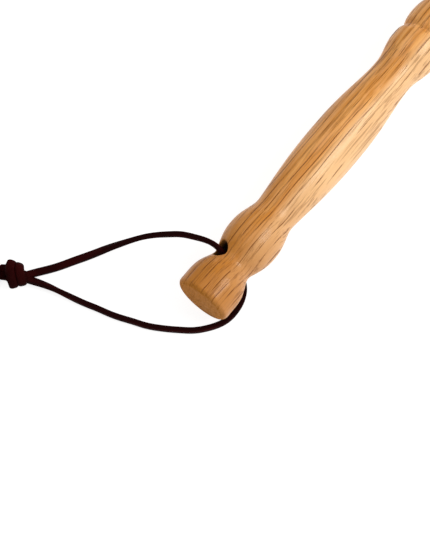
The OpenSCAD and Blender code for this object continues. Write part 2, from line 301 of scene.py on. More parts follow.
plateMesh = {
    "arcStep": 1.2,
    "holeSides": 28,
    "rimAngles": (30, 60, 90),
    # In units of the spacing: from row to row, and from the rim or a hole to the first point
    "rowPitch": 0.87,
    "rimGap": 0.5,
    "holeGap": 0.45,
    "holeSlack": 0.995,
    "sliver": 0.001,
    "wearReach": 2.2,
    "wear": 0.55,
}


def plateGrid(outline, inner, rims, spacing):  # staggered points, clear of the rim and the holes
    low, high = outline.min(axis=0), outline.max(axis=0)
    grid = []
    for row, y in enumerate(np.arange(low[1] + spacing / 2, high[1], spacing * plateMesh["rowPitch"])):
        for x in np.arange(low[0] + spacing * (0.5 + row % 2 / 2), high[0], spacing):
            grid.append((x, y))
    grid = np.array(grid)
    keep = insideLoop(grid, inner)
    for x, y, radius in rims:
        keep &= np.hypot(grid[:, 0] - x, grid[:, 1] - y) > radius + spacing * plateMesh["holeGap"]
    return grid[keep]


def plateTriangles(flat, triangles, outer, rims):  # inside the rim, outside the holes, and no slivers
    triangles = np.array(triangles)
    middles = flat[triangles].mean(axis=1)
    first, second, third = flat[triangles].transpose(1, 0, 2)
    (ax, ay), (bx, by) = (second - first).T, (third - first).T
    good = insideLoop(middles, outer) & (np.abs(ax * by - ay * bx) > plateMesh["sliver"])
    for x, y, radius in rims:
        good &= np.hypot(middles[:, 0] - x, middles[:, 1] - y) > radius * plateMesh["holeSlack"]
    return triangles[good]


def plateWear(flat, loops):  # how worn the face is near its edges
    nearest = np.full(len(flat), np.inf)
    for loop, _, _ in loops:
        for point in loop:
            nearest = np.minimum(nearest, np.hypot(*(flat - point).T))
    return np.clip(1 - nearest / plateMesh["wearReach"], 0, 1) * plateMesh["wear"]


def plateParts(outline, normals, holes, thickness, edgeRound, holeRound, spacing):
    # A plate in the plane with rounded edges: (x, y, height) points, faces, and the wear at each point
    loops = [(outline - normals * edgeRound, normals, edgeRound)]
    rims = [(x, y, radius + holeRound) for x, y, radius in holes]
    for x, y, radius in rims:
        circle = roundSection(1, plateMesh["holeSides"])[::-1]
        loops.append((np.array([x, y]) + circle * radius, -circle, holeRound))
    starts, flat, edges = [], [], []
    for loop, _, _ in loops:
        starts.append(len(flat))
        edges += [(starts[-1] + i, starts[-1] + (i + 1) % len(loop)) for i in range(len(loop))]
        flat += loop.tolist()
    inner = loops[0][0] - normals * spacing * plateMesh["rimGap"]
    flat += plateGrid(outline, inner, rims, spacing).tolist()
    flat, triangles, whereIs = triangulated(flat, edges)
    triangles = plateTriangles(flat, triangles, loops[0][0], rims)
    count = len(flat)
    half = thickness / 2
    points = np.vstack([np.column_stack([flat, np.full(count, level)]) for level in (half, -half)])
    wear = np.tile(plateWear(flat, loops), 2)
    faces = triangles.tolist() + (triangles[:, ::-1] + count).tolist()
    for (loop, out, radius), start in zip(loops, starts):
        angles = np.radians(plateMesh["rimAngles"])
        levels = [(radius * math.sin(a), half - radius * (1 - math.cos(a))) for a in angles]
        levels += [(offset, -level) for offset, level in levels[::-1]]
        rings = [[whereIs[start + i] for i in range(len(loop))]]
        for offset, level in levels:
            rings.append(list(range(len(points), len(points) + len(loop))))
            rim = np.column_stack([loop + out * offset, np.full(len(loop), level)])
            points = np.vstack([points, rim])
            wear = np.concatenate([wear, np.ones(len(loop))])
        faces += bandFaces(rings + [[i + count for i in rings[0]]])
    return points, faces, wear


def place(tree, kind, inputs=None, **settings):  # an input is a value or another node's output
    node = tree.nodes.new("ShaderNode" + kind)
    for name, value in settings.items():
        setattr(node, name, value)
    for name, value in (inputs or {}).items():
        if isinstance(value, bpy.types.NodeSocket):
            tree.links.new(value, node.inputs[name])
        else:
            node.inputs[name].default_value = value
    return node


def calculate(tree, operation, first, second=0.0, third=0.0):
    return place(tree, "Math", {0: first, 1: second, 2: third}, operation=operation).outputs[0]


def times(tree, first, second):
    return calculate(tree, "MULTIPLY", first, second)


def timesPlus(tree, first, second, third):
    return calculate(tree, "MULTIPLY_ADD", first, second, third)


def mixColors(tree, share, first, second):  # a color mix takes its colors at inputs 6 and 7
    return place(tree, "Mix", {0: share, 6: first, 7: second}, data_type="RGBA").outputs[2]


def spread(tree, value, low, high, newLow=0.0, newHigh=1.0):
    values = {"Value": value, "From Min": low, "From Max": high, "To Min": newLow, "To Max": newHigh}
    return place(tree, "MapRange", values).outputs["Result"]


def noise(tree, spot, scale, detail=3.0, roughness=0.55):
    values = {"Vector": spot, "Scale": scale, "Detail": detail, "Roughness": roughness}
    return place(tree, "TexNoise", values).outputs["Fac"]


def stretched(tree, spot, factors):  # coordinates scaled by a factor along each axis
    return place(tree, "VectorMath", {0: spot, 1: factors}, operation="MULTIPLY").outputs[0]


def figure(tree, spot, factors, detail=2.0, roughness=0.55):  # noise drawn out along the grain
    return noise(tree, stretched(tree, spot, factors), 1.0, detail, roughness)


def inMillimetres(tree):
    return stretched(tree, place(tree, "TexCoord").outputs["Object"], (1 / millimetre,) * 3)


def newGroup(name, inputs, outputs):
    group = bpy.data.node_groups.new(name, "ShaderNodeTree")
    sockets = [("INPUT", *row) for row in inputs] + [("OUTPUT", *row, None) for row in outputs]
    for side, socketName, kind, value in sockets:
        kind = "NodeSocket" + kind
        socket = group.interface.new_socket(name=socketName, in_out=side, socket_type=kind)
        if value is not None:
            socket.default_value = value
    return group, group.nodes.new("NodeGroupInput").outputs, group.nodes.new("NodeGroupOutput").inputs


def useGroup(tree, group, **inputs):
    return place(tree, "Group", inputs, node_tree=group)


def newMaterial(name, **constants):
    material = bpy.data.materials.new(name)
    material.use_nodes = True
    shader = material.node_tree.nodes["Principled BSDF"]
    for socketName, value in constants.items():
        shader.inputs[socketName.replace("_", " ")].default_value = value
    return material, material.node_tree, shader


def dress(tree, shader, color, rough, height, depth):  # the patterns that a finish is made of
    bump = place(tree, "Bump", {"Height": height, "Distance": depth, "Strength": 1.0})
    tree.links.new(color, shader.inputs["Base Color"])
    tree.links.new(rough, shader.inputs["Roughness"])
    tree.links.new(bump.outputs["Normal"], shader.inputs["Normal"])


def rgb(red, green, blue):
    return (red, green, blue, 1)


# Grain of tanned leather: pebbles, fine creases and pores
def buildLeatherGrain():
    group, given, result = newGroup(
        "leatherGrain",
        [("Spot", "Vector", None), ("Pebble", "Float", 1.1), ("Crease", "Float", 0.5)],
        [("Height", "Float"), ("Hollows", "Float"), ("Patches", "Float")],
    )
    waves = {"Vector": given["Spot"], "Scale": 0.8, "Detail": 2.0}
    warp = place(group, "TexNoise", waves).outputs["Color"]
    bent = stretched(group, warp, (0.7, 0.7, 0.7))
    spot = place(group, "VectorMath", {0: given["Spot"], 1: bent}, operation="ADD").outputs[0]
    finer = times(group, given["Pebble"], 2.7)
    large, small = [
        place(group, "TexVoronoi", {"Vector": spot, "Scale": scale}, feature="DISTANCE_TO_EDGE")
        for scale in (given["Pebble"], finer)
    ]
    valleys = spread(group, large.outputs["Distance"], 0.0, 0.16)
    smallValleys = spread(group, small.outputs["Distance"], 0.0, 0.2)
    creases = figure(group, spot, (0.3, 1.2, 1.2), 4.0, 0.6)
    creaseShare = times(group, creases, given["Crease"])
    height = timesPlus(group, valleys, 0.6, creaseShare)
    height = timesPlus(group, smallValleys, 0.3, height)
    group.links.new(height, result["Height"])
    group.links.new(calculate(group, "SUBTRACT", 1.0, valleys), result["Hollows"])
    group.links.new(noise(group, spot, 0.07, 4.0, 0.6), result["Patches"])
    return group


# Use on a surface: soft large patches, fine specks, and a few thin scratches
def buildHandling():
    group, given, result = newGroup(
        "handling",
        [("Spot", "Vector", None), ("Base", "Float", 0.4), ("Range", "Float", 0.15)],
        [("Roughness", "Float"), ("Specks", "Float"), ("Scratches", "Float")],
    )
    smears = noise(group, given["Spot"], 0.09, 3.0, 0.6)
    centered = calculate(group, "SUBTRACT", smears, 0.5)
    rough = timesPlus(group, centered, given["Range"], given["Base"])
    specks = spread(group, noise(group, given["Spot"], 1.9, 2.0, 0.7), 0.62, 0.78)
    scratches = spread(group, figure(group, given["Spot"], (0.15, 3.5, 3.5), 2.0, 0.5), 0.66, 0.72)
    group.links.new(rough, result["Roughness"])
    group.links.new(specks, result["Specks"])
    group.links.new(scratches, result["Scratches"])
    return group


leatherGrain = buildLeatherGrain()
handling = buildHandling()


oakFinish = {
    "light": rgb(0.93, 0.46, 0.145),
    "dark": rgb(0.70, 0.28, 0.055),
    "rosy": rgb(0.92, 0.47, 0.19),
    "sapwoodAndHighlight": rgb(1.0, 0.68, 0.38),
    "pore": rgb(0.185, 0.052, 0.004),
    "aged": rgb(0.50, 0.175, 0.018),
    "endGrain": rgb(0.38, 0.135, 0.008),
    # Painted shade: near black for the lace hole's bore, and partly on the rounded rims of its mouths
    "bore": rgb(0.010, 0.004, 0.002),
    "roughness": 0.38,
    # The growth rings run round a pith well out to one side, and wander and ripple along the tree
    "pith": (0, 52, 27),
    "ringWidth": 3.5,
    "wander": 6.0,
    "ripple": 0.6,
    # Paler sapwood far from the pith lies on the side facing the key light: real sapwood colour and a
    # painted highlight in one
    "sapwoodAndHighlightFrom": (56.5, 60.5),
    "sapwoodAndHighlightShare": 0.65,
    "agedFrom": (8, 90),
    "agedShare": 0.85,
    "coat": 0.2,
    "depth": 0.00012,
}


def oakRings(tree, spot, finish):  # distance from the pith, and how far through its ring
    wander = times(tree, figure(tree, spot, (0.01, 0.022, 0.022)), finish["wander"])
    ripple = times(tree, figure(tree, spot, (0.04, 0.25, 0.25)), finish["ripple"])
    away = place(tree, "VectorMath", {0: spot, 1: finish["pith"]}, operation="SUBTRACT").outputs[0]
    level = stretched(tree, away, (0, 1, 1))
    radius = place(tree, "VectorMath", {0: level}, operation="LENGTH").outputs["Value"]
    radius = calculate(tree, "ADD", radius, calculate(tree, "ADD", wander, ripple))
    return radius, calculate(tree, "FRACT", calculate(tree, "DIVIDE", radius, finish["ringWidth"]))


def oakPores(tree, spot, rings):  # long thin hollows along the grain, thick in each ring's first growth
    band = times(tree, spread(tree, rings, 0.0, 0.05), spread(tree, rings, 0.22, 0.10))
    vessels = spread(tree, figure(tree, spot, (0.035, 1.0, 0.25), 3.0, 0.6), 0.45, 0.54)
    hairs = spread(tree, figure(tree, spot, (0.03, 1.3, 0.3), 3.0, 0.6), 0.52, 0.63)
    streaks = times(tree, vessels, band)
    return calculate(tree, "MAXIMUM", streaks, times(tree, hairs, 0.5))


def oakColor(tree, spot, radius, rings, finish):
    patches = spread(tree, figure(tree, spot, (0.014, 0.3, 0.2), 5.0, 0.65), 0.42, 0.60)
    color = mixColors(tree, patches, finish["dark"], finish["light"])
    summer = spread(tree, rings, 0.2, 1.0, 0.0, 0.4)
    color = mixColors(tree, summer, color, finish["dark"])
    blush = spread(tree, figure(tree, spot, (0.03, 0.3, 0.3)), 0.5, 0.75, 0.0, 0.7)
    color = mixColors(tree, blush, color, finish["rosy"])
    # Painted highlight: the pale sapwood band falls on the handle's key-lit side
    sapwoodAndHighlight = spread(tree, radius, *finish["sapwoodAndHighlightFrom"], 0.0, finish["sapwoodAndHighlightShare"])
    color = mixColors(tree, sapwoodAndHighlight, color, finish["sapwoodAndHighlight"])
    # The oil gathers toward the butt and darkens it
    along = place(tree, "SeparateXYZ", {"Vector": spot}).outputs["X"]
    near, far = [buttX / millimetre + station for station in finish["agedFrom"]]
    aged = spread(tree, along, near, far, finish["agedShare"], 0.0)
    return mixColors(tree, aged, color, finish["aged"])


def makeOak(finish):
    material, tree, shader = newMaterial("oak", Specular_IOR_Level=0.12, Coat_Roughness=0.16)
    spot = inMillimetres(tree)
    radius, rings = oakRings(tree, spot, finish)
    pores = oakPores(tree, spot, rings)
    color = oakColor(tree, spot, radius, rings, finish)
    # End grain is duller and darker still, and speckled with open vessels
    normal = place(tree, "TexCoord").outputs["Normal"]
    facing = place(tree, "VectorMath", {0: normal, 1: (-1, 0, 0)}, operation="DOT_PRODUCT")
    endGrain = spread(tree, facing.outputs["Value"], 0.2, 0.9)
    speckle = spread(tree, noise(tree, spot, 0.9, 4.0, 0.8), 0.42, 0.6, 0.3, 1.0)
    color = mixColors(tree, times(tree, endGrain, speckle), color, finish["endGrain"])
    poreShare = times(tree, pores, spread(tree, endGrain, 0.0, 1.0, 0.9, 0.35))
    color = mixColors(tree, poreShare, color, finish["pore"])
    # Painted shade in the lace hole: its mouths darken with depth and its bore is painted near black
    bore = spread(tree, place(tree, "Attribute", attribute_name="edge").outputs["Fac"], 0.3, 0.9)
    color = mixColors(tree, bore, color, finish["bore"])
    worn = useGroup(tree, handling, Spot=spot, Base=finish["roughness"], Range=0.2)
    rough = timesPlus(tree, endGrain, 0.35, worn.outputs["Roughness"])
    rough = timesPlus(tree, pores, 0.25, rough)
    tree.links.new(spread(tree, endGrain, 0.0, 1.0, finish["coat"], 0.0), shader.inputs["Coat Weight"])
    turning = times(tree, figure(tree, spot, (2.2, 0.02, 0.02)), 0.12)
    dress(tree, shader, color, rough, timesPlus(tree, pores, -1.0, turning), finish["depth"])
    return material


metalFinish = {
    "brass": {
        "light": rgb(0.86, 0.60, 0.24),
        "dull": rgb(0.50, 0.30, 0.10),
        "lines": (5.0, 0.12, 0.12),
        "roughness": 0.27,
        "depth": 0.00002,
    },
    "springWire": {
        "light": rgb(0.60, 0.60, 0.61),
        "dull": rgb(0.30, 0.29, 0.28),
        "lines": (0.25, 4.0, 4.0),
        "roughness": 0.3,
        "depth": 0.00002,
    },
}


def makeMetal(name, finish):
    material, tree, shader = newMaterial(name, Metallic=1.0)
    spot = inMillimetres(tree)
    worn = useGroup(tree, handling, Spot=spot, Base=finish["roughness"], Range=0.22)
    lines = figure(tree, spot, finish["lines"], 3.0, 0.6)
    tarnish = spread(tree, noise(tree, spot, 0.22, 4.0, 0.65), 0.45, 0.75, 0.0, 0.75)
    color = mixColors(tree, tarnish, finish["light"], finish["dull"])
    color = mixColors(tree, times(tree, worn.outputs["Specks"], 0.5), color, finish["dull"])
    rough = timesPlus(tree, tarnish, 0.15, worn.outputs["Roughness"])
    rough = timesPlus(tree, lines, 0.12, rough)
    height = timesPlus(tree, worn.outputs["Scratches"], -0.4, lines)
    dress(tree, shader, color, rough, height, finish["depth"])
    return material


leatherFinish = {
    "flapLeather": {
        "light": rgb(0.155, 0.058, 0.022),
        "dark": rgb(0.060, 0.020, 0.008),
        "edge": rgb(0.022, 0.010, 0.006),
        "pebble": 0.75,
        "crease": 0.7,
        "roughness": 0.5,
        "gloss": 0.4,
        "depth": 0.00016,
    },
    "yokeLeather": {
        "light": rgb(0.075, 0.026, 0.011),
        "dark": rgb(0.028, 0.010, 0.005),
        "edge": rgb(0.012, 0.006, 0.004),
        "pebble": 1.2,
        "crease": 0.35,
        "roughness": 0.42,
        "gloss": 0.4,
        "depth": 0.00012,
    },
    "laceLeather": {
        "light": rgb(0.044, 0.0028, 0.0030),
        "dark": rgb(0.009, 0.0006, 0.0006),
        "edge": rgb(0.013, 0.0015, 0.0015),
        "pebble": 2.6,
        "crease": 0.8,
        "roughness": 0.66,
        "gloss": 0.03,
        "depth": 0.00008,
    },
}


def makeLeather(name, finish):
    material, tree, shader = newMaterial(name, Specular_IOR_Level=finish["gloss"])
    spot = inMillimetres(tree)
    grain = useGroup(tree, leatherGrain, Spot=spot, Pebble=finish["pebble"], Crease=finish["crease"])
    worn = useGroup(tree, handling, Spot=spot, Base=finish["roughness"], Range=0.25)
    edge = place(tree, "Attribute", attribute_name="edge").outputs["Fac"]
    ragged = timesPlus(tree, grain.outputs["Patches"], 0.5, edge)
    burnished = spread(tree, ragged, 0.55, 1.0)
    patches = spread(tree, grain.outputs["Patches"], 0.3, 0.7)
    color = mixColors(tree, patches, finish["dark"], finish["light"])
    color = mixColors(tree, times(tree, grain.outputs["Hollows"], 0.6), color, finish["dark"])
    color = mixColors(tree, burnished, color, finish["edge"])
    rough = timesPlus(tree, grain.outputs["Hollows"], 0.14, worn.outputs["Roughness"])
    rough = timesPlus(tree, burnished, -0.08, rough)
    dress(tree, shader, color, rough, grain.outputs["Height"], finish["depth"])
    return material


threadFinish = {
    "light": rgb(0.68, 0.54, 0.34),
    "dark": rgb(0.36, 0.24, 0.12),
    "speck": rgb(0.2, 0.11, 0.05),
    "roughness": 0.55,
    "depth": 0.00005,
}


def makeThread(finish):
    material, tree, shader = newMaterial("waxedThread", Coat_Weight=0.1, Coat_Roughness=0.4)
    spot = inMillimetres(tree)
    worn = useGroup(tree, handling, Spot=spot, Base=finish["roughness"], Range=0.2)
    fibres = noise(tree, spot, 5.5, 3.0, 0.6)
    color = mixColors(tree, spread(tree, fibres, 0.35, 0.7), finish["dark"], finish["light"])
    color = mixColors(tree, times(tree, worn.outputs["Specks"], 0.4), color, finish["speck"])
    dress(tree, shader, color, worn.outputs["Roughness"], fibres, finish["depth"])
    return material


floorForm = {
    "rear": -1500,
    "front": 2000,
    "side": 1800,
    "pale": rgb(0.97, 0.97, 0.97),
    "mottled": rgb(0.93, 0.93, 0.93),
    "glow": 0.9,
    "shade": 0.7,
}


def makeFloorFinish(form):
    material, tree, shader = newMaterial("studioPaper", Roughness=0.9, Emission_Strength=form["glow"])
    mottle = noise(tree, inMillimetres(tree), 0.01, 2.0)
    color = mixColors(tree, mottle, form["mottled"], form["pale"])
    tree.links.new(color, shader.inputs["Emission Color"])
    tree.links.new(mixColors(tree, form["shade"], color, rgb(0, 0, 0)), shader.inputs["Base Color"])
    return material


def makeFloor(form):
    corners = [
        (form["rear"], -form["side"], 0),
        (form["front"], -form["side"], 0),
        (form["front"], form["side"], 0),
        (form["rear"], form["side"], 0),
    ]
    makePiece("floor", corners, [[0, 1, 2, 3]], makeFloorFinish(form))


addCamera(cameraView)
addLights(lightSet)
print("camera and lights are set")

oak = makeOak(oakFinish)
brass = makeMetal("brass", metalFinish["brass"])
springWire = makeMetal("springWire", metalFinish["springWire"])
flapLeather = makeLeather("flapLeather", leatherFinish["flapLeather"])
yokeLeather = makeLeather("yokeLeather", leatherFinish["yokeLeather"])
laceLeather = makeLeather("laceLeather", leatherFinish["laceLeather"])
waxedThread = makeThread(threadFinish)
print("finishes are made")

makeFloor(floorForm)
print("the floor is laid")


laceForm = {
    "width": 4,
    "thickness": 2.85,
    "spacing": 1.0,
    "easing": 16,
    "knotWidth": 4.8,
    "knotThickness": 2.9,
    "roundness": 0.5,
    "knotRoundness": 0.8,
    "sides": 20,
    "tailSpacing": 0.8,
    "tailTaper": 0.8,
    "tailStart": -6,
    # [station, y, height, roll of the flat side], from the middle of the hole to the knot
    "upper": [
        (25, 0, 15, 60), (25.5, 5, 19, 60), (26, 9, 21.5, 65), (26, 13, 22, 70),
        (25, 17.5, 21.5, 75), (23, 23.5, 20, 80), (21, 29.5, 18, 80), (18, 34.5, 15.5, 80),
        (14.5, 40, 13, 75), (10.5, 45, 10.5, 70), (6.5, 49, 8, 65), (1.5, 53, 6, 55),
        (-4, 57, 4.5, 40), (-9.5, 60.5, 3, 25), (-15, 64, 2, 12), (-20.5, 67.5, 1.5, 0),
        (-26, 70.5, 1.5, 0), (-31.5, 74, 1.8, 0), (-36.5, 77.5, 2.5, 0), (-42, 80.5, 4, 0),
    ],
    "lower": [
        (25, 0, 15, 60), (24.5, -4.5, 11.2, 60), (23, -9, 7.4, 70), (19.5, -12.5, 5, 85),
        (15, -14, 4, 90), (9.5, -14.5, 3, 90), (4, -14, 2.5, 90), (-1.5, -11.5, 2.2, 90),
        (-6.5, -8, 2.2, 90), (-11, -4, 2.2, 90), (-14.5, 1, 2.2, 90), (-18, 6, 2.2, 90),
        (-21, 11, 2.2, 90), (-24, 16.5, 2.2, 90), (-26, 22.5, 2.2, 90), (-28.5, 28.5, 2.2, 90),
        (-30.5, 34.5, 2.2, 90), (-32, 41, 2.2, 90), (-34, 47.5, 2.2, 90), (-35.5, 54, 2.2, 90),
        (-37, 61, 2.3, 80), (-38.5, 67.5, 2.5, 60), (-40.5, 73.5, 2.8, 40), (-43, 79, 4, 20),
    ],
    # The pair of strands through the knot: [along, across, height, outward x, y, z, half their spacing]
    "knotCenter": (-46.8, 84),
    "knotTurn": 113,
    "knotSpacing": 0.5,
    "knot": [
        (-6.5, 2.3, 4.0, 0, 0, -1, 0.75), (-3.5, 2.3, 4.0, 0, 0, -1, 1.0),
        (-0.5, 2.4, 3.9, 0, 0, -1, 1.4), (2.2, 3.2, 3.9, 0.3, 0, -1, 1.7),
        (3.6, 5.2, 4.0, 0.8, 0.5, -0.4, 2.0), (2.4, 7.3, 4.6, 0.2, 1, 0, 2.2),
        (0.9, 7.7, 6.0, -0.2, 0.8, 0.6, 2.3), (1.0, 5.8, 7.4, -0.1, 0.2, 1, 2.4),
        (0.2, 3.4, 7.7, 0, 0, 1, 2.4), (-1.1, 0.8, 7.3, -0.1, -0.2, 1, 2.4),
        (-2.6, -1.6, 6.0, -0.3, -0.6, 0.7, 2.4), (-3.3, -2.7, 3.9, -0.5, -0.85, 0, 2.3),
        (-2.6, -1.8, 2.3, -0.3, -0.5, -0.9, 2.1), (-0.4, 0.9, 1.7, 0, 0, -1, 2.0),
        (2.6, 2.8, 1.8, 0, 0, -1, 1.9), (5.6, 2.6, 2.4, 0, 0, -1, 1.8),
        (7.6, 2.0, 2.8, 0, 0, -1, 1.8),
    ],
    "upperTail": [
        (-49.5, 93.5, 3.5), (-54.5, 96.5, 2.4), (-57.5, 101, 1.9), (-59, 106, 1.9),
    ],
    "lowerTail": [
        (-51.7, 91.7, 3.2), (-56.4, 91.3, 2.4), (-61, 90, 1.95), (-65, 89.5, 1.85), (-70, 90, 1.85),
    ],
}


def strapSection(width, thickness, roundness):  # from a flat strap toward an oval as roundness nears 1
    count = laceForm["sides"]
    angles = np.linspace(0, 2 * math.pi, count, endpoint=False) + math.pi / count
    x = np.sign(np.cos(angles)) * np.abs(np.cos(angles)) ** roundness * width / 2
    y = np.sign(np.sin(angles)) * np.abs(np.sin(angles)) ** roundness * thickness / 2
    return np.stack([x, y], axis=1)


def rolledSides(line, rolls):  # the strap's width direction, turned by roll from level
    ahead = headings(line)
    level = unit(np.cross((0, 0, 1), ahead))
    top = np.cross(ahead, level)
    angles = np.radians(rolls)[:, None]
    return level * np.cos(angles) + top * np.sin(angles)


def laceStrap(line, sides, width, thickness, roundness, endSize=1.0):  # points, faces and wear
    section = strapSection(width, thickness, roundness)
    sizes = np.ones(len(line))
    sizes[-1] = endSize
    points, faces = sweep(line, sides, section, sizes)
    outward = np.abs(section[:, 0])
    return points, faces, np.tile(smoothStep(outward / outward.max(), 0.93, 1.0), len(line))


def knotStrands(form):  # centre line of the pair, its width direction, and half the strands' spacing
    turn = math.radians(form["knotTurn"])
    along = np.array([math.cos(turn), math.sin(turn), 0])
    across = np.array([math.sin(turn), -math.cos(turn), 0])
    turned = np.array([along, across, (0, 0, 1)])
    rows = smoothLine(form["knot"], form["knotSpacing"])
    line = np.array([*form["knotCenter"], 0]) + rows[:, :3] @ turned
    outward = unit(rows[:, 3:6] @ turned)
    return line, unit(np.cross(outward, headings(line))), rows[:, 6:]


def makeLeg(name, knots, form):  # one leg of the loop, and its centre line
    route = eased(smoothLine(knots, form["spacing"]), form["easing"])
    line = route[:, :3]
    sides = rolledSides(line, route[:, 3])
    strap = laceStrap(line, sides, form["width"], form["thickness"], form["roundness"])
    return makePiece(name, *strap[:2], laceLeather, strap[2]), inFrame(line)


def makeKnot(form):  # the doubled strand's overhand knot, and the two ends that leave it
    line, sides, offsets = knotStrands(form)
    strands, tails = [], []
    for sign, tail in ((1, "upperTail"), (-1, "lowerTail")):
        strand = eased(line + sign * offsets * sides, form["easing"])
        sizes = form["knotWidth"], form["knotThickness"], form["knotRoundness"]
        strands.append(laceStrap(strand, sides, *sizes))
        knots = np.vstack([strand[form["tailStart"]], strand[-1], form[tail]])
        tailLine = smoothLine(knots, form["tailSpacing"])
        sizes = form["width"], form["thickness"], form["roundness"], form["tailTaper"]
        tails.append(laceStrap(tailLine, carriedFrames(tailLine, sides[-1]), *sizes))
    pieces = []
    for name, node, straps in (("laceKnot", "lace_knot", strands), ("laceTails", "lace_tails", tails)):
        edge = np.concatenate([strap[2] for strap in straps])
        piece = makePiece(name, *joined([strap[:2] for strap in straps]), laceLeather, edge)
        settle(piece, "lace_loop", node)
        pieces.append(piece)
    return pieces


def makeLace(form):
    for name, node in (("upper", "lace_upper"), ("lower", "lace_lower")):
        leg, path = makeLeg(name + "LaceLeg", form[name], form)
        settle(leg, "lace_loop", node)
    knotAndTails = makeKnot(form)


makeLace(laceForm)
print("the lace is tied")


handleForm = {
    "rim": 2.8,
    "flare": 15,
    # [station, radius, ease] at the end of each turned stretch
    "turning": [
        (2.8, 15, 1), (6.5, 15, 1), (25, 10.7, 1.7), (41.1, 14.5, 0.7), (60, 11.2, 1.3),
        (108, 14.5, 0.65), (160, 11.2, 1.4), (178.02, 14.1, 1), (186.5, 12.5, 2.5),
        (196.1, 14.5, 0.5), (214, 11.2, 1.2), (232.04, 15, 0.9), (258, 9.8, 1.15),
    ],
    "tenonRadius": 7.95,
    "tenonEnd": 275,
    "tenonBevel": 0.6,
    "shoulder": 9.0,
    "buttRings": (0, 1, 3, 6, 9, 11.3),
    "groove": (183, 186.5, 190),
    "around": 112,
    "step": 1.3,
    "grooveStep": 0.35,
    "rimStep": 11.25,
    "flareRows": 10,
    "hole": 26,
    "holeRadius": 4.75,
    "holeSlope": 40,
    "holeRound": 0.7,
    # The stretch round the hole is meshed flat, unrolled, with rings of points at each mouth
    "patch": (14, 38),
    "patchRows": 20,
    "unrolledRadius": 11,
    "mouthSides": 72,
    "mouthTilts": (0, 22, 45, 67, 90),
    "mouthBand": 0.7,
    "mouthGap": 1.4,
    "mouthShade": 0.6,
    "boreRows": 8,
}


def handleRadius(station):
    station = np.asarray(station, float)
    rim = handleForm["rim"]
    behind = rim - np.minimum(station, rim)
    radius = handleForm["flare"] - rim + np.sqrt(np.clip(rim ** 2 - behind ** 2, 0, None))
    stretches = handleForm["turning"]
    for (x0, r0, _), (x1, r1, ease) in zip(stretches, stretches[1:]):
        u = np.clip((station - x0) / (x1 - x0), 0, 1)
        radius = np.where(station > x0, r0 + (r1 - r0) * (1 - np.cos(math.pi * u ** ease)) / 2, radius)
    return radius


holeTurn = math.radians(handleForm["holeSlope"])
holeAlong = np.array([0, math.cos(holeTurn), math.sin(holeTurn)])  # the lace hole's own direction
holeAcross = np.array([0, -math.sin(holeTurn), math.cos(holeTurn)])
firstTurn = -0.5 * math.pi  # angles round the handle start between the two mouths


def onHandle(stations, angles, radii):
    outward = np.outer(np.cos(angles), holeAlong) + np.outer(np.sin(angles), holeAcross)
    return np.outer(stations, (1, 0, 0)) + (0, 0, axisZ) + outward * radii[:, None]


def latheRows(stations, radii, form):
    count = form["around"]
    angles = np.linspace(firstTurn, firstTurn + 2 * math.pi, count, endpoint=False)
    rings = [onHandle(np.full(count, s), angles, np.full(count, r)) for s, r in zip(stations, radii)]
    return np.vstack(rings), tubeFaces(len(stations), count)


def mouthRings(form):  # for each mouth, rings of (station, angle, depth) over its rounded edge
    around = np.linspace(0, 2 * math.pi, form["mouthSides"], endpoint=False)
    tilts = np.radians(form["mouthTilts"])
    radius, rounding = form["holeRadius"], form["holeRound"]
    sizes = [radius + rounding + form["mouthBand"]]
    sizes += [radius + rounding * (1 - math.sin(a)) for a in tilts]
    depths = [0.0] + [rounding * (1 - math.cos(a)) for a in tilts]
    rings = []
    for mouth in (1, -1):
        for size, depth in zip(sizes, depths):
            stations = form["hole"] + size * np.cos(around)
            across = size * np.sin(around)
            turns = np.arctan2(across, mouth * np.sqrt(handleRadius(stations) ** 2 - across ** 2))
            turns = np.where(turns < firstTurn, turns + 2 * math.pi, turns)
            rings.append(np.column_stack([stations, turns, np.full(len(around), depth)]))
    return rings


def mouthPatch(form):  # the waist with the lace hole bored through: points, faces and the painted shade in and round the hole
    rows = np.linspace(*form["patch"], form["patchRows"])
    angles = np.linspace(firstTurn, firstTurn + 2 * math.pi, form["around"] + 1)
    stations, turns = [grid.ravel() for grid in np.meshgrid(rows, angles)]
    away = np.hypot(stations - form["hole"], handleRadius(stations) * np.sin(turns))
    keep = away > form["holeRadius"] + form["holeRound"] + form["mouthGap"]
    surface = np.column_stack([stations[keep], turns[keep], np.zeros(keep.sum())])
    rings = mouthRings(form)
    spots = np.vstack([surface] + rings)
    flat, triangles, whereIs = triangulated(spots[:, :2] * (1, form["unrolledRadius"]), [])
    depths = np.zeros(len(flat))
    for old, new in whereIs.items():
        depths[new] = spots[old, 2]
    stations, turns = (flat / (1, form["unrolledRadius"])).T
    sign = np.where(np.cos(turns) > 0, 1, -1)
    points = onHandle(stations, turns, handleRadius(stations)) - (sign * depths)[:, None] * holeAlong
    # The innermost ring of each mouth is where the bore starts, so nothing closes it
    sides = form["mouthSides"]
    ends = [len(surface) + len(rings) * sides // 2, len(spots)]
    upper, lower = [[whereIs[i] for i in range(end - sides, end)] for end in ends]
    faces = [face for face in triangles if not (set(face) <= set(upper) or set(face) <= set(lower))]
    bore = [upper]
    for share in np.linspace(0, 1, form["boreRows"])[1:-1]:
        bore.append(list(range(len(points), len(points) + sides)))
        points = np.vstack([points, points[upper] * (1 - share) + points[lower] * share])
    faces += bandFaces(bore + [lower])
    # Painted shade: darker down each mouth's rounded rim, and full inside the bore
    dark = np.ones(len(points))
    dark[:len(flat)] = form["mouthShade"] * depths / form["holeRound"]
    return points, faces, dark


def rearRows(form):  # stations and radii from the butt's middle out over its rim to the patch
    rings = form["buttRings"]
    tilts = np.radians(np.arange(0, 91, form["rimStep"]))
    rim = form["rim"] * (1 - np.cos(tilts))
    onward = np.linspace(form["rim"], form["patch"][0], form["flareRows"])[1:]
    surface = np.concatenate([rim, onward])
    stations = np.concatenate([np.zeros(len(rings)), surface])
    return stations, np.concatenate([rings, handleRadius(surface)])


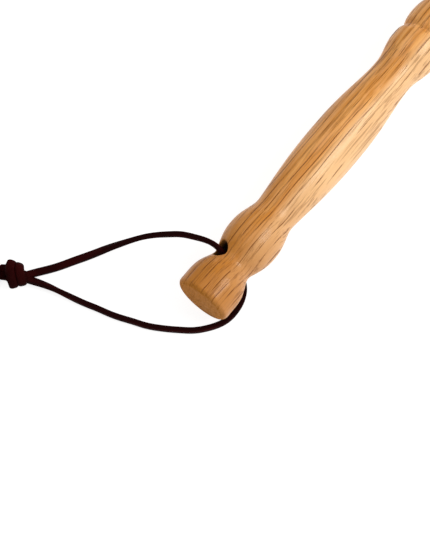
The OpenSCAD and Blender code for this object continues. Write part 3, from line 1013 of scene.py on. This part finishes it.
def frontRows(form):  # stations and radii from the patch to the tenon's end
    start, deepest, end = form["groove"]
    last = form["turning"][-1][0]
    groove = np.arange(start, end, form["grooveStep"])
    turned = np.concatenate([np.arange(form["patch"][1], last, form["step"]), groove, [deepest, last]])
    turned = np.unique(np.round(turned, 3))
    radius, tip, bevel = form["tenonRadius"], form["tenonEnd"], form["tenonBevel"]
    stations = np.concatenate([turned, [last, last, tip - bevel, tip, tip]])
    ends = [form["shoulder"], radius, radius, radius - bevel, 0]
    return stations, np.concatenate([handleRadius(turned), ends])


def makeHandle(form):
    rear = latheRows(*rearRows(form), form)
    front = latheRows(*frontRows(form), form)
    *waist, dark = mouthPatch(form)
    # The lace hole's painted shade, zero elsewhere, goes in as the edge attribute
    dark = np.concatenate([np.zeros(len(rear[0])), dark, np.zeros(len(front[0]))])
    handle = makePiece("turnedHandle", *joined([rear, waist, front]), oak, dark, sharp=48)
    settle(handle, "root", "handle")


makeHandle(handleForm)
print("the handle is turned and bored")


ferruleForm = {
    "start": 258,
    # [distance from the rear edge, radius] outside, from the rear bead to the wire hole
    "outside": [
        (0.0, 8.25), (0.0, 8.6), (0.3, 8.9), (0.8, 9.0), (1.3, 8.95), (1.7, 8.78), (2.0, 8.72),
        (3.4, 8.72), (3.6, 8.62), (3.9, 8.56), (4.2, 8.62), (4.4, 8.72), (13.6, 8.72), (13.8, 8.62),
        (14.1, 8.56), (14.4, 8.62), (14.6, 8.72), (15.6, 8.7), (16.3, 8.5), (16.9, 8.1),
        (17.4, 7.5), (17.75, 6.7), (17.95, 5.6), (18.0, 4.4), (18.0, 3.4), (17.8, 2.9),
        (17.4, 2.72),
    ],
    "inside": [
        (17.0, 2.75), (17.0, 7.9), (16.6, 8.0), (0.4, 8.0), (0.1, 8.1),
    ],
    "sides": 96,
    "brad": 267.9,
    "bradLevel": 8.75,
    "bradSides": 24,
    # [distance out from the shell, radius] from the brad's point to the middle of its head
    "bradShape": [
        (-4.6, 0), (-3.6, 0.66), (-0.1, 0.7), (-0.1, 1.35), (0.08, 1.4), (0.3, 1.25), (0.45, 0.8),
        (0.5, 0),
    ],
}


def makeFerrule(form):
    profile = form["outside"] + form["inside"]
    points, faces = revolve(profile, (form["start"], 0, axisZ), (1, 0, 0), form["sides"], closed=True)
    ferrule = makePiece("ferruleShell", points, faces, brass, sharp=40)
    settle(ferrule, "root", "ferrule")
    parts = []
    for side in (1, -1):
        seat = (form["brad"], 0, axisZ + side * form["bradLevel"])
        parts.append(revolve(form["bradShape"], seat, (0, 0, side), form["bradSides"]))
    brads = makePiece("ferruleBrads", *joined(parts), brass, sharp=50)
    settle(brads, "root", "ferrule_brads")


makeFerrule(ferruleForm)
print("the ferrule is pinned on")


wireForm = {
    "diameter": 2.6,
    "strandRadius": 1.35,
    "pitch": 17,
    "socket": 234,
    "fork": 316,
    "forkBend": 10,
    "bar": 366,
    "barHalf": 41,
    "cornerBend": 8.3,
    "forkGap": 0.6,
    "spacing": 0.7,
    "sides": 16,
    "bendPoints": 14,
    "cornerPoints": 22,
    "straightPoints": 14,
    "strandDensity": 1.4,
}


def forkStretches(form):  # half of the flat frame: the fork's bend, leg, corner and half the bar
    forkCenter = np.array([form["fork"], form["strandRadius"] + form["forkBend"]])
    cornerCenter = np.array([form["bar"] - form["cornerBend"], form["barHalf"] - form["cornerBend"]])
    leg = cornerCenter - forkCenter
    slope = math.atan2(leg[1], leg[0])
    slope += math.asin((form["forkBend"] + form["cornerBend"]) / float(np.linalg.norm(leg)))
    first = np.linspace(-math.pi / 2, slope - math.pi / 2, form["bendPoints"])
    second = np.linspace(slope + math.pi / 2, 0, form["cornerPoints"])
    bend = forkCenter + form["forkBend"] * np.column_stack([np.cos(first), np.sin(first)])
    corner = cornerCenter + form["cornerBend"] * np.column_stack([np.cos(second), np.sin(second)])
    between = np.linspace(0, 1, form["straightPoints"])[1:-1, None]
    straight = bend[-1] + (corner[0] - bend[-1]) * between
    bar = corner[-1] + (np.array([form["bar"], 0]) - corner[-1]) * between
    return bend, straight, corner, bar


def twistedStrand(form, phase):  # the twist grows over its first half turn, behind the fork
    length = form["fork"] - form["socket"] - form["forkGap"]
    back = np.linspace(length, form["forkGap"], round(length * form["strandDensity"]))
    turns = back / form["pitch"]
    angles = phase + 2 * math.pi * np.where(turns < 0.5, turns ** 2, turns - 0.25)
    return np.column_stack([
        form["fork"] - back,
        form["strandRadius"] * np.cos(angles),
        axisZ + form["strandRadius"] * np.sin(angles),
    ])


def makeWire(form):
    half = np.vstack(forkStretches(form))
    upper = np.column_stack([half, np.full(len(half), axisZ)])
    lower = upper[::-1] * (1, -1, 1)
    middle = [(form["bar"], 0, axisZ)]
    twist, untwist = twistedStrand(form, 0), twistedStrand(form, math.pi)[::-1]
    line = smoothLine(np.vstack([twist, upper, middle, lower, untwist]), form["spacing"])
    section = roundSection(form["diameter"] / 2, form["sides"])
    points, faces = sweep(line, carriedFrames(line, np.array([0.0, 0.0, 1.0])), section)
    wire = makePiece("twistedWire", points, faces, springWire, sharp=60)
    settle(wire, "root", "wire_frame")


makeWire(wireForm)
print("the wire is twisted and bent")


flapForm = {
    "fold": 383.3,
    "length": 114,
    "width": 98,
    "thickness": 2.2,
    "tipRound": 16,
    "clamped": 15.7,
    "holeDiameter": 5.5,
    "pitch": 12,
    "border": 11,
    "bendLength": 16,
    "blendStart": 2,
    "edgeRound": 0.75,
    "holeRound": 0.3,
    "outlineSpacing": 2.6,
    "spacing": 2.7,
    # It leaves the yoke level and eases down until its tip rests, a little curled at its sides
    "tipLevel": 1.45,
    "easesFrom": 50,
    "easing": 0.35,
    "wavesFrom": 12,
    "wave": 0.5,
    "waveAlong": (17, 0.6),
    "waveAcross": (21, 0.9),
    "curl": 1.1,
}

# Both the flap and the plies are punched for the rivets
rivetForm = {
    "row": 374.4,
    "rowPlaces": (-39, -13, 13, 39),
    "rear": 339,
    "post": 1.5,
    "clearance": 0.05,
    "sides": 40,
    "sunk": 0.06,
    # [distance along the rivet, radius] of a head, and of what stands under the cap and on the post
    "dome": [
        (0, 1.5), (0, 3.7), (0.12, 3.95), (0.32, 4.0), (0.55, 3.8), (0.78, 3.2), (0.98, 2.4),
        (1.12, 1.4), (1.18, 0.6), (1.2, 0),
    ],
    "capStem": [(-0.5, 0), (-0.5, 1.2)],
    "postTip": [(0.6, 0), (0.6, 1.2), (1.0, 1.5)],
}


def punchSpots(form):  # staggered rows of punched holes: [distance from the fold, y]
    rowStep = form["pitch"] * math.sin(math.radians(60))
    rows = int((form["length"] - 2 * form["border"]) / rowStep)
    half = form["width"] / 2 - form["border"]
    cornerX = form["length"] - form["tipRound"]
    cornerY = form["width"] / 2 - form["tipRound"]
    spots = []
    for i in range(rows + 1):
        x = form["length"] / 2 + rowStep * (i - rows / 2)
        shift = (i % 2) / 2
        count = int(half / form["pitch"] - shift)
        for j in range(-count, count + (2 if i % 2 else 1)):
            y = form["pitch"] * (j - shift)
            fromCorner = math.hypot(max(0, x - cornerX), max(0, abs(y) - cornerY))
            if fromCorner < form["tipRound"] - form["border"] / 2:
                spots.append((x, y))
    return spots


def flapSlopes(steps, steepest, form):  # how steeply the flap falls at each step from its fold
    easing = 1 - form["easing"] * smoothStep(steps, form["easesFrom"], form["length"])
    return steepest * smoothStep(steps, 0, form["bendLength"]) * easing


def bentFlap(points, form):  # from flat to hanging
    x, y, height = points.T
    steps = np.linspace(0, form["length"], 400)
    gap = steps[1] - steps[0]
    low, high = 0.0, 0.5
    for _ in range(40):  # halving toward the steepness that brings the tip down to rest
        middle = (low + high) / 2
        fall = float(np.sin(flapSlopes(steps, middle, form))[1:].sum()) * gap
        low, high = (middle, high) if fall < axisZ - form["tipLevel"] else (low, middle)
    slope = flapSlopes(steps, low, form)
    reach = np.concatenate([[0], np.cumsum(np.cos(slope[1:]) * gap)])
    drop = np.concatenate([[0], np.cumsum(np.sin(slope[1:]) * gap)])
    along = np.where(x < 0, x, np.interp(x, steps, reach))
    down, tilt = [np.where(x < 0, 0, np.interp(x, steps, values)) for values in (drop, slope)]
    free = smoothStep(x, form["wavesFrom"], form["length"])
    (long, longShift), (wide, wideShift) = form["waveAlong"], form["waveAcross"]
    wave = form["wave"] * np.sin(x / long + longShift) * np.sin(y / wide + wideShift)
    wave += form["curl"] * (2 * np.abs(y) / form["width"]) ** 3 * free
    lifted = height + wave * free
    return np.column_stack([
        form["fold"] + along + lifted * np.sin(tilt),
        y,
        axisZ - down + lifted * np.cos(tilt),
    ])


def makeFlap(form):
    half = form["width"] / 2
    rear, tip = -form["clamped"], form["length"]
    rounds = (1, form["tipRound"], form["tipRound"], 1)
    corners = [(rear, -half), (tip, -half), (tip, half), (rear, half)]
    outline, normals = roundedOutline(corners, rounds, form["outlineSpacing"])
    holes = [(x, y, form["holeDiameter"] / 2) for x, y in punchSpots(form)]
    rivetHole = rivetForm["post"] + rivetForm["clearance"]
    holes += [(rivetForm["row"] - form["fold"], y, rivetHole) for y in rivetForm["rowPlaces"]]
    points, faces, wear = plateParts(
        outline, normals, holes, form["thickness"],
        form["edgeRound"], form["holeRound"], form["spacing"],
    )
    flap = makePiece("leatherFlap", bentFlap(points, form), faces, flapLeather, wear, sharp=55)
    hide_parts("flap", "flap_root")
    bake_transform(flap)


makeFlap(flapForm)
print("the flap is punched and hung")


yokeForm = {
    "ply": 1.8,
    "core": 2.2,
    "rear": 331,
    "front": 381.2,
    "half": 49,
    "margin": 8,
    "closed": 0.22,
    "rounds": (3, 7, 2),
    "edgeRound": 0.65,
    "holeRound": 0.2,
    "outlineSpacing": 1.6,
    "spacing": 1.5,
    "inset": 3,
    "grooveDepth": 0.22,
    "grooveWidth": 0.9,
    # Moulded over the wire between these distances from it, and over the flap's rear between these stations
    "moulded": (1.0, 4.4),
    "mouldGap": 0.12,
    "rise": (364.5, 367.8),
}


def yokeCorners(inset):  # corners of half the yoke, drawn in from its slanted and outer edges
    _, leg, _, _ = forkStretches(wireForm)
    ahead = unit(leg[-1] - leg[0])
    out = np.array([-ahead[1], ahead[0]])
    base = leg[0] + out * (yokeForm["margin"] - inset)
    outer = yokeForm["half"] - inset
    rear = yokeForm["rear"] + inset
    rearY = base[1] + (rear - base[0]) * ahead[1] / ahead[0]
    sideX = base[0] + (outer - base[1]) * ahead[0] / ahead[1]
    return np.array([(rear, rearY), (sideX, outer), (yokeForm["front"] - inset, outer)])


def distanceToLine(points, line):
    nearest = np.full(len(points), np.inf)
    for a, b in zip(line, line[1:]):
        d = b - a
        t = np.clip((points - a) @ d / float(d @ d), 0, 1)[:, None]
        nearest = np.minimum(nearest, np.linalg.norm(points - a - t * d, axis=1))
    return nearest


def seamLines():  # both ends of each row of stitches: round the sides, then behind the cross bar
    rows = []
    corners = yokeCorners(yokeForm["inset"])
    for side in (1, -1):
        for a, b in zip(corners, corners[1:]):
            rows.append((a * (1, side), b * (1, side)))
    barSeam = wireForm["bar"] - wireForm["diameter"] / 2 - yokeForm["inset"]
    barHalf = wireForm["barHalf"] - wireForm["cornerBend"] - yokeForm["inset"]
    rows.append((np.array([barSeam, -barHalf]), np.array([barSeam, barHalf])))
    return rows


wireInPlane = np.vstack(forkStretches(wireForm))
wireInPlane = np.vstack([wireInPlane, wireInPlane[::-1] * (1, -1)])


def plyInside(flat):  # how far the ply's inner face stands from the middle plane
    near = distanceToLine(flat, wireInPlane)
    overWire = 1 - smoothStep(near, *yokeForm["moulded"])
    overFlap = smoothStep(flat[:, 0], *yokeForm["rise"])
    core = yokeForm["core"] / 2
    closed = yokeForm["closed"]
    moulded = closed + (core + yokeForm["mouldGap"] - closed) * overWire
    return np.maximum(moulded, closed + (core - closed) * overFlap)


def plyOutside(flat):
    groove = np.zeros(len(flat))
    for a, b in seamLines():
        near = distanceToLine(flat, np.array([a, b]))
        groove = np.maximum(groove, np.exp(-(near / yokeForm["grooveWidth"]) ** 2))
    return plyInside(flat) + yokeForm["ply"] - yokeForm["grooveDepth"] * groove


def makePlies(form):
    corners = yokeCorners(0)
    corners = np.vstack([corners * (1, -1), corners[::-1]])
    rounds = form["rounds"] + form["rounds"][::-1]
    outline, normals = roundedOutline(corners, rounds, form["outlineSpacing"])
    rivetHole = rivetForm["post"] + rivetForm["clearance"]
    holes = [(x, y, rivetHole) for x, y in rivetSpots(rivetForm)]
    points, faces, wear = plateParts(
        outline, normals, holes, form["ply"], form["edgeRound"], form["holeRound"], form["spacing"],
    )
    flat = points[:, :2]
    inside, outside = plyInside(flat), plyOutside(flat)
    level = inside + (outside - inside) * (points[:, 2] / form["ply"] + 0.5)
    for name, node, side in (("upperPly", "yoke_top", 1), ("lowerPly", "yoke_bottom", -1)):
        placed = np.column_stack([flat, axisZ + side * level])
        ply = makePiece(name, placed, faces, yokeLeather, wear, sharp=55)
        settle(ply, "root", node)


def rivetSpots(form):
    return [(form["row"], y) for y in form["rowPlaces"]] + [(form["rear"], 0)]


def makeRivets(form):
    spots = np.array(rivetSpots(form), float)
    dome = [(distance - form["sunk"], radius) for distance, radius in form["dome"]]
    caps, posts = [], []
    for (x, y), level in zip(spots, plyInside(spots) + yokeForm["ply"]):
        tip = [(distance - 2 * level, radius) for distance, radius in form["postTip"]]
        caps.append(revolve(form["capStem"] + dome, (x, y, axisZ + level), (0, 0, 1), form["sides"]))
        posts.append(revolve(tip + dome, (x, y, axisZ - level), (0, 0, -1), form["sides"]))
    for name, node, parts in (("rivetCaps", "rivet_caps", caps), ("rivetPosts", "rivet_posts", posts)):
        settle(makePiece(name, *joined(parts), brass, sharp=50), "root", node)


stitchForm = {
    "pitch": 6,
    "length": 3.72,
    "thread": 0.9,
    "slant": 7,
    "unevenness": 0.4,
    "seed": 4,
    "sides": 10,
    "lobes": 0.14,
    "twist": 0.62,
    "spacing": 0.35,
    # [along, above the leather] for half of a stitch's arch
    "arch": [(1.0, -0.9), (1.0, -0.35), (0.93, 0.1), (0.7, 0.34), (0.35, 0.42), (0, 0.44)],
}


def threadSection(form):  # two plies twisted together, seen end on
    angles = np.linspace(0, 2 * math.pi, form["sides"], endpoint=False)
    radii = form["thread"] / 2 * (1 + form["lobes"] * np.cos(2 * angles))
    return np.stack([radii * np.cos(angles), radii * np.sin(angles)], axis=1)


def makeStitch(middle, turn, side, form):  # one arch of thread over the leather
    arch = np.array(form["arch"])
    shape = np.vstack([arch * (-1, 1), arch[-2::-1]])
    run = np.array([math.cos(turn), math.sin(turn)])
    places = middle + np.outer(shape[:, 0] * form["length"] / 2, run)
    levels = plyOutside(np.tile(middle, (len(places), 1)))
    heights = axisZ + side * (levels + shape[:, 1])
    line = smoothLine(np.column_stack([places, heights]), form["spacing"])
    sides = carriedFrames(line, np.array([-run[1], run[0], 0]))
    tops = np.cross(headings(line), sides)
    twist = np.arange(len(line))[:, None] * form["twist"]
    return sweep(line, sides * np.cos(twist) + tops * np.sin(twist), threadSection(form))


def makeStitches(form):
    parts = []
    random.seed(form["seed"])
    least, most = 1 - form["unevenness"], 1 + form["unevenness"]
    for a, b in seamLines():
        count = int(np.linalg.norm(b - a) / form["pitch"])
        for i in range(count):
            middle = a + (b - a) * (i + 0.5) / count
            slant = math.radians(form["slant"] * random.uniform(least, most))
            turn = math.atan2(*(b - a)[::-1]) + slant
            for side in (1, -1):
                parts.append(makeStitch(middle, turn, side, form))
    stitches = makePiece("saddleStitches", *joined(parts), waxedThread)
    settle(stitches, "root", "yoke_stitching")


makePlies(yokeForm)
makeRivets(rivetForm)
makeStitches(stitchForm)
print("the yoke is riveted and sewn")
